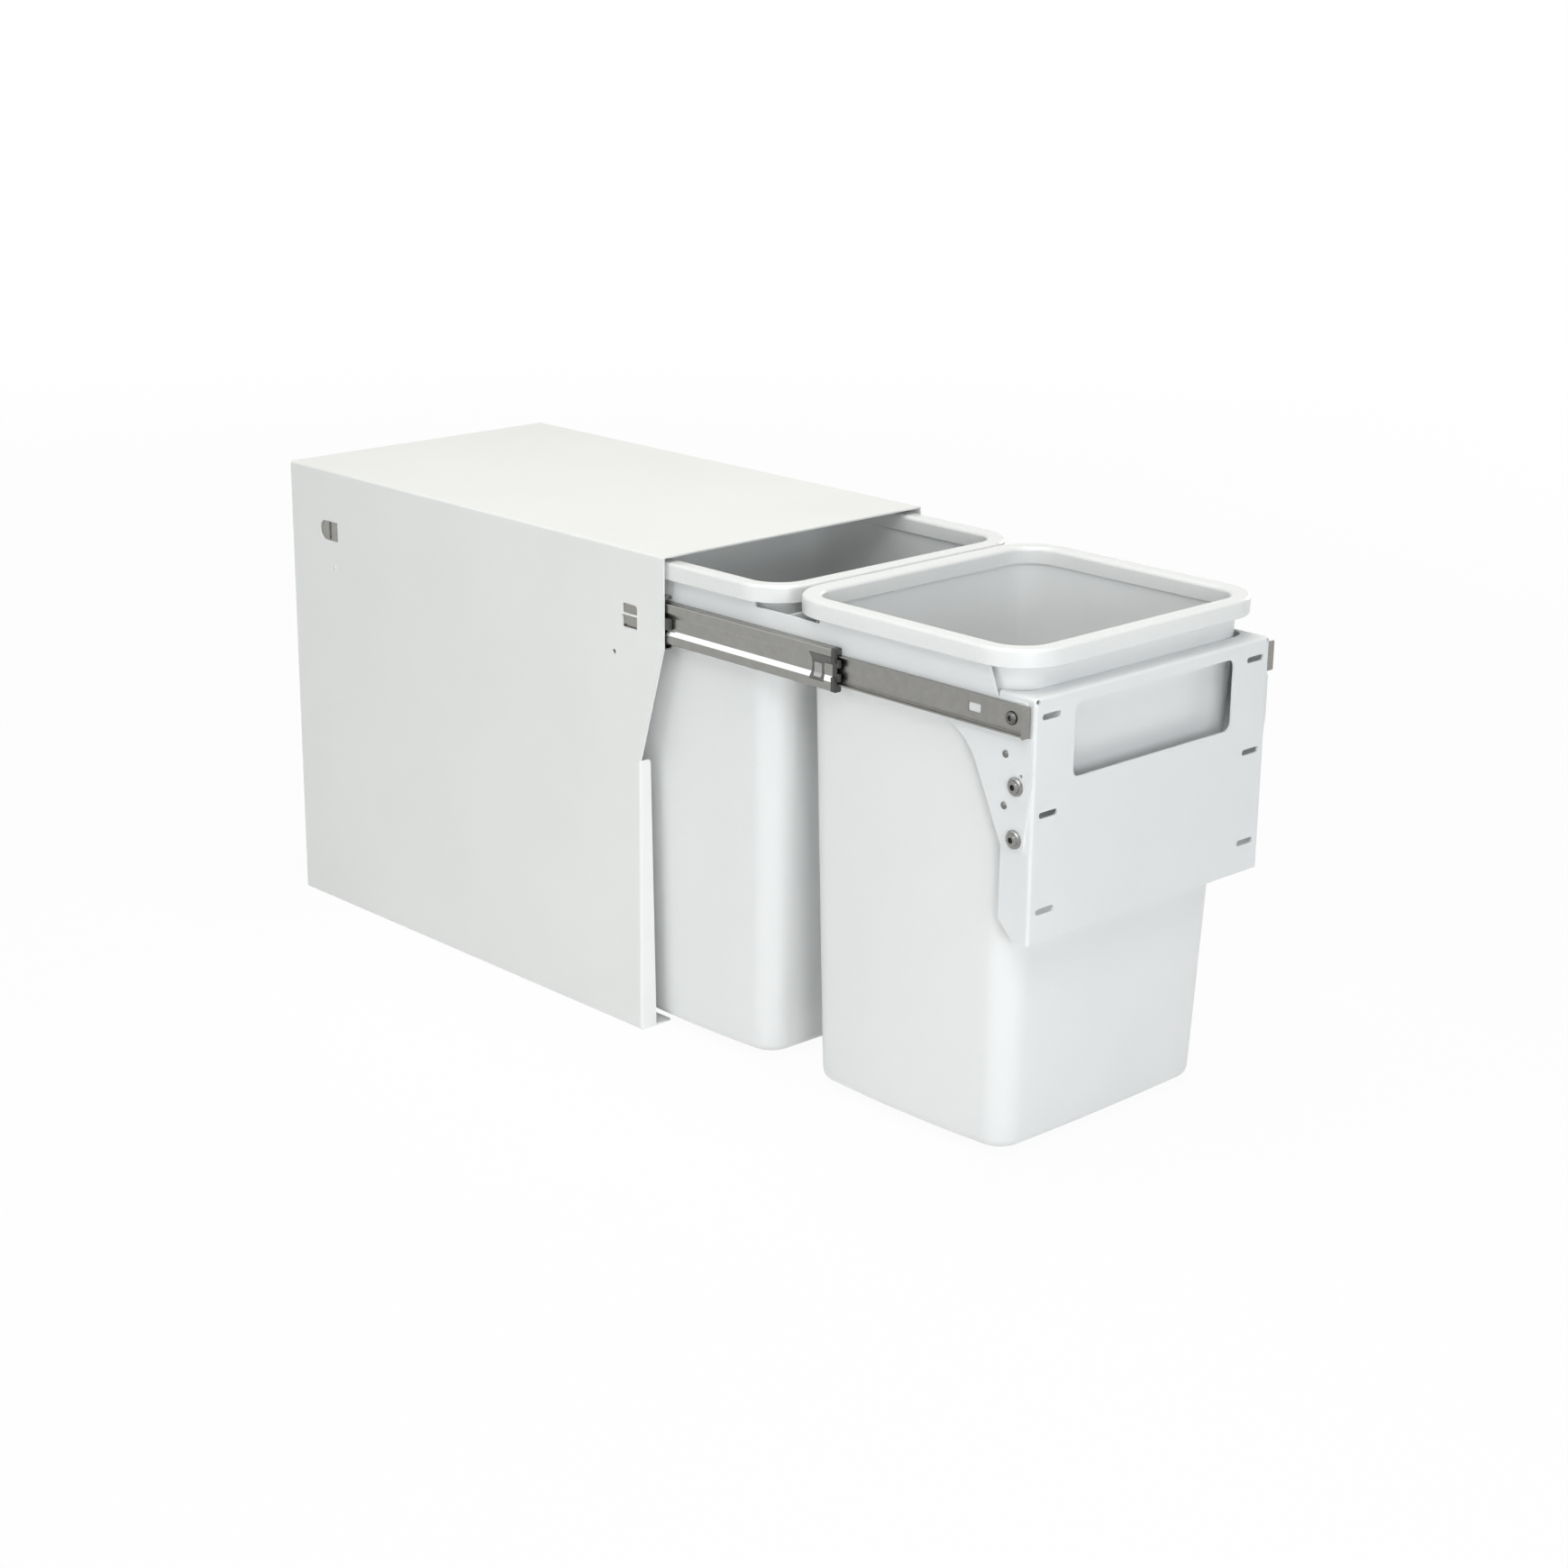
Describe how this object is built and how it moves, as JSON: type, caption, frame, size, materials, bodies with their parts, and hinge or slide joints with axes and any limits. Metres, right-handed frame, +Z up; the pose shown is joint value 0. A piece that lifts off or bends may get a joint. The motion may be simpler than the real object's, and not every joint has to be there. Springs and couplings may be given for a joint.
{
  "type": "pull out waste unit",
  "caption": "White steel pull out waste unit for a kitchen cabinet: open casing, ball bearing slides, front plate and plastic buckets one behind the other, shown half open.",
  "frame": {"origin": "on the cabinet floor, in the middle of the four base screws", "axes": "+Z up, +X to the right seen from the front, the carrier is pulled out along -Y"},
  "size_m": [0.2624, 0.796, 0.364],
  "materials": {
    "white_steel": "satin white powder coat",
    "white_plastic": "smooth white plastic",
    "ring_plastic": "glossy white plastic",
    "slide_steel": "bright zinc plated steel",
    "ball_steel": "polished",
    "fastener_steel": "zinc plated",
    "dark_plastic": "dark grey plastic"
  },
  "bodies": {
    "casing": {"casing": "white_steel", "outer_rail_left": "slide_steel", "outer_rail_right": "slide_steel", "outer_rail_stop_left": "dark_plastic", "outer_rail_stop_right": "dark_plastic"},
    "intermediate": {"intermediate_rail_left": "slide_steel", "intermediate_rail_right": "slide_steel", "intermediate_rail_cap_left": "dark_plastic", "intermediate_rail_cap_right": "dark_plastic", "intermediate_rail_clip_left": "dark_plastic", "intermediate_rail_clip_right": "dark_plastic", "intermediate_rail_catch_left": "slide_steel", "intermediate_rail_catch_right": "slide_steel"},
    "carrier": {"adjusting_screws_left": "fastener_steel", "adjusting_screws_right": "fastener_steel", "centre_bar": "white_steel", "clinch_nuts_left": "fastener_steel", "clinch_nuts_right": "fastener_steel", "door_plate": "white_steel", "front_bucket": "white_plastic", "front_liner_ring": "ring_plastic", "inner_rail_left": "slide_steel", "inner_rail_right": "slide_steel", "locating_pins_left": "fastener_steel", "locating_pins_right": "fastener_steel", "rail_rivets_left": "fastener_steel", "rail_rivets_right": "fastener_steel", "rail_screw_left": "fastener_steel", "rail_screw_right": "fastener_steel", "rear_bucket": "white_plastic", "rear_liner_ring": "ring_plastic", "rear_plate": "white_steel", "rear_plate_rivets_left": "fastener_steel", "rear_plate_rivets_right": "fastener_steel", "side_plate_left": "white_steel", "side_plate_right": "white_steel"},
    "outer_retainers": {"outer_ball_retainer_left": "slide_steel", "outer_ball_retainer_right": "slide_steel", "outer_balls_left": "ball_steel", "outer_balls_right": "ball_steel"},
    "inner_retainers": {"inner_ball_retainer_left": "slide_steel", "inner_ball_retainer_right": "slide_steel", "inner_balls_left": "ball_steel", "inner_balls_right": "ball_steel"}
  },
  "joints": [
    {"name": "intermediate_slide", "type": "slide", "parent": "casing", "child": "intermediate", "axis": [0, -1, 0], "range_m": [-0.16425, 0.06075]},
    {"name": "carrier_slide", "type": "slide", "parent": "intermediate", "child": "carrier", "axis": [0, -1, 0], "range_m": [-0.16425, 0.06075]},
    {"name": "outer_retainer_slide", "type": "slide", "parent": "casing", "child": "outer_retainers", "axis": [0, -1, 0], "range_m": [-0.08213, 0.03037]},
    {"name": "inner_retainer_slide", "type": "slide", "parent": "intermediate", "child": "inner_retainers", "axis": [0, -1, 0], "range_m": [-0.08213, 0.03037]}
  ],
  "couplings": [
    {"joint": "outer_retainer_slide", "follows": "intermediate_slide", "ratio": 0.5},
    {"joint": "inner_retainer_slide", "follows": "carrier_slide", "ratio": 0.5}
  ]
}
